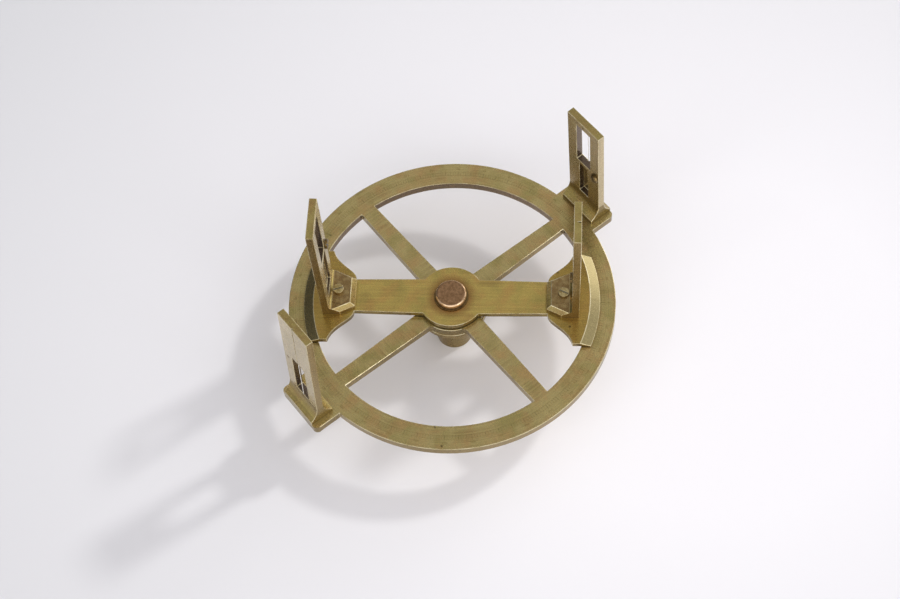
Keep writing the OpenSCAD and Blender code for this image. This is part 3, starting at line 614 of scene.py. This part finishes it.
def scribed_circle(radius):
    """A thin ring round the scale."""
    inner = radius - MARK_W / 2
    share = (radius + MARK_W / 2) / inner
    bpy.ops.mesh.primitive_circle_add(vertices=240, radius=inner, location=(0, 0, CIRCLE_TOP - MARK_T))
    ring = bpy.context.object
    in_edit_mode(
        ring,
        lambda: bpy.ops.mesh.extrude_region_move(),
        lambda: bpy.ops.transform.resize(value=(share, share, 1)),
        lambda: bpy.ops.mesh.select_all(action="SELECT"),
        lambda: bpy.ops.mesh.normals_make_consistent(inside=False),
    )
    settle(ring)
    apply_modifier(ring, "SOLIDIFY", thickness=2 * MARK_T, offset=1)
    in_edit_mode(ring, lambda: bpy.ops.mesh.normals_make_consistent(inside=False))
    return ring


def number_at(degrees):
    """A plain engraved number outside the scale, read from outside the circle."""
    bpy.ops.object.text_add(location=(0, 0, 0))
    text = bpy.context.object
    text.data.body = str(degrees)
    text.data.align_x = "CENTER"
    text.data.align_y = "CENTER"
    text.data.size = NUMBER_H * FONT_PER_HEIGHT
    text.data.extrude = MARK_T
    text.data.resolution_u = 2
    select_only(text)
    bpy.ops.object.convert(target="MESH")
    number = bpy.context.object
    in_edit_mode(number, lambda: bpy.ops.mesh.remove_doubles(threshold=0.0002 * MM))
    turn = math.radians(degrees)
    number.location = (NUMBER_R * math.cos(turn), NUMBER_R * math.sin(turn), CIRCLE_TOP)
    number.rotation_euler.z = turn + math.pi / 2
    settle(number)
    return number


def engraved_scale():
    """Degree lines, longer at every fifth, between scribed circles, with numbers every ten degrees."""
    singles = division_line(DEGREE_LEN)
    turned_copies(singles, 360, 1)
    fives = division_line(FIVE_LEN)
    turned_copies(fives, 72, 5)
    circles = [scribed_circle(SCALE_R), scribed_circle(SCALE_R + DEGREE_LEN)]
    lines = joined("scale_lines", [singles, fives] + circles)
    numbers = joined("scale_numbers", [number_at(d) for d in range(0, 360, 10)])
    for piece in (lines, numbers):
        piece.data.materials.clear()
        piece.data.materials.append(MATERIALS["wax"])
        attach(piece, STAND)


def index_line(name, turn):
    """Index line down the bevel of one fan end."""
    bevel_drop = ALIDADE_HIGH.z - ALIDADE_LOW.z - INDEX_T
    length = 0.8 * math.hypot(BEVEL_W, bevel_drop)
    bpy.ops.mesh.primitive_cube_add(size=1)
    line = bpy.context.object
    line.name = name
    line.scale = (length, MARK_W, 2 * MARK_T)
    settle(line)
    line.rotation_euler.y = math.atan2(bevel_drop, BEVEL_W)
    line.location = (INDEX_R - BEVEL_W / 2, 0, (ALIDADE_HIGH.z + ALIDADE_LOW.z + INDEX_T) / 2)
    settle(line)
    line.rotation_euler.z = turn
    settle(line)
    line.data.materials.append(MATERIALS["wax"])
    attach(line, TURNING)


# The pieces

def dress_circle():
    """The circle, its socket, the pivot and the washers."""
    dressed("circle", "circle", bevel_mm=0.3, min_length_mm=1.2)
    dressed("staff_socket", "socket")
    dressed("pivot", "pivot", bevel_mm=0.15, min_length_mm=0.5, arris="pivot")
    finish_node("flange_screws", "dark")
    finish_node("pivot_nut", "dark")
    finish_node("head_washer", "painted_shade_brass")
    finish_node("rub_washer", "steel")
    engraved_scale()


def dress_sight(side, finish, body_screw):
    """One sight with its foot, screws, pins, pegs and hair."""
    dressed(side + "_sight", finish, min_length_mm=0.8)
    dressed(side + "_hair_screw", "painted_shade_brass", bevel_mm=0.15, min_length_mm=0.3, arris="painted_shade_brass")
    finish_node(side + "_hair", "hair")
    finish_node(side + "_hair_pegs", "painted_shade_brass")
    finish_node(side + "_steady_pins", "screw")
    if body_screw == "_foot_screw":
        dressed(side + body_screw, "screw", bevel_mm=0.15, min_length_mm=0.3)
    else:
        finish_node(side + body_screw, "dark")


def dress_alidade():
    """The alidade's plate and bush, and its index lines."""
    dressed("alidade", "alidade", min_length_mm=0.9)
    finish_node("alidade_bush", "screw")
    index_line("right_index_line", 0)
    index_line("left_index_line", math.pi)


# Stage, light and camera

def stage_floor():
    """Pale paper that the circle stands on."""
    bpy.ops.mesh.primitive_plane_add(size=FLOOR_SIZE)
    floor = bpy.context.object
    floor.name = "floor"
    floor.data.materials.append(floor_paper("studio_paper_painted_light_pool"))


def patch_of_room(tree, aim, way, full_within, gone_beyond, change):
    """Brightness that a soft-edged round patch of the room adds or takes away; its edges are in degrees."""
    near = add(tree, "ShaderNodeVectorMath", {0: aim, 1: Vector(way).normalized()}, operation="DOT_PRODUCT")
    return add(tree, "ShaderNodeMapRange", {"Value": near.outputs["Value"],
                                            "From Min": math.cos(math.radians(gone_beyond)),
                                            "From Max": math.cos(math.radians(full_within)),
                                            "To Min": 0, "To Max": change},
               interpolation_type="SMOOTHSTEP").outputs[0]


def light_stage():
    """A room that is bright on the right and dim at the back left, with a few bright and dark patches
    for the brass to mirror, and one lamp at the back right that casts the shadows."""
    world = bpy.data.worlds.new("room")
    bpy.context.scene.world = world
    world.use_nodes = True
    tree = world.node_tree
    tree.nodes.clear()
    aim = add(tree, "ShaderNodeTexCoord").outputs["Generated"]
    to_dim = add(tree, "ShaderNodeVectorMath", {0: aim, 1: Vector(DIM_CORNER).normalized()},
                 operation="DOT_PRODUCT")
    strength = add(tree, "ShaderNodeMapRange", {"Value": to_dim.outputs["Value"], "From Min": -1,
                                                "From Max": 1, "To Min": ROOM_BRIGHTEST,
                                                "To Max": ROOM_DIMMEST}).outputs[0]
    for patch in (SCREEN_BEHIND, DARK_DOOR, LEFT_WINDOW, RIGHT_WINDOW, WHITE_WALL_IN_FRONT, DARK_CEILING):
        change = patch_of_room(tree, aim, *patch)
        strength = add(tree, "ShaderNodeMath", {0: strength, 1: change}).outputs[0]
    light = add(tree, "ShaderNodeBackground", {"Color": linear(ROOM_LIGHT), "Strength": strength})
    add(tree, "ShaderNodeOutputWorld", {"Surface": light.outputs[0]})
    lamp = bpy.data.lights.new("main_lamp", "SUN")
    lamp.energy = LAMP_STRENGTH
    lamp.angle = LAMP_ANGLE
    holder = bpy.data.objects.new("main_lamp", lamp)
    holder.rotation_euler = Vector(LAMP_FROM).to_track_quat("Z", "Y").to_euler()
    # What the brass mirrors of this lamp is the screen in the room
    holder.visible_glossy = False
    bpy.context.scene.collection.objects.link(holder)


def place_camera():
    """The photograph's viewpoint."""
    data = bpy.data.cameras.new("camera")
    data.lens = LENS_MM
    data.sensor_width = SENSOR_MM
    data.clip_start = 0.01
    data.clip_end = 50
    camera = bpy.data.objects.new("camera", data)
    turn = Matrix((CAMERA_RIGHT, CAMERA_UP, CAMERA_BACK)).transposed().to_4x4()
    camera.matrix_world = Matrix.Translation(CAMERA_PLACE) @ turn
    bpy.context.scene.collection.objects.link(camera)
    bpy.context.scene.camera = camera


place_camera()
light_stage()
stage_floor()
dress_circle()
dress_alidade()
for fixed_side in ("rear", "front"):
    dress_sight(fixed_side, fixed_side, "_sight_screws")
for turning_side in ("right", "left"):
    dress_sight(turning_side, "turning", "_foot_screw")
bpy.context.scene.view_settings.view_transform = "Standard"
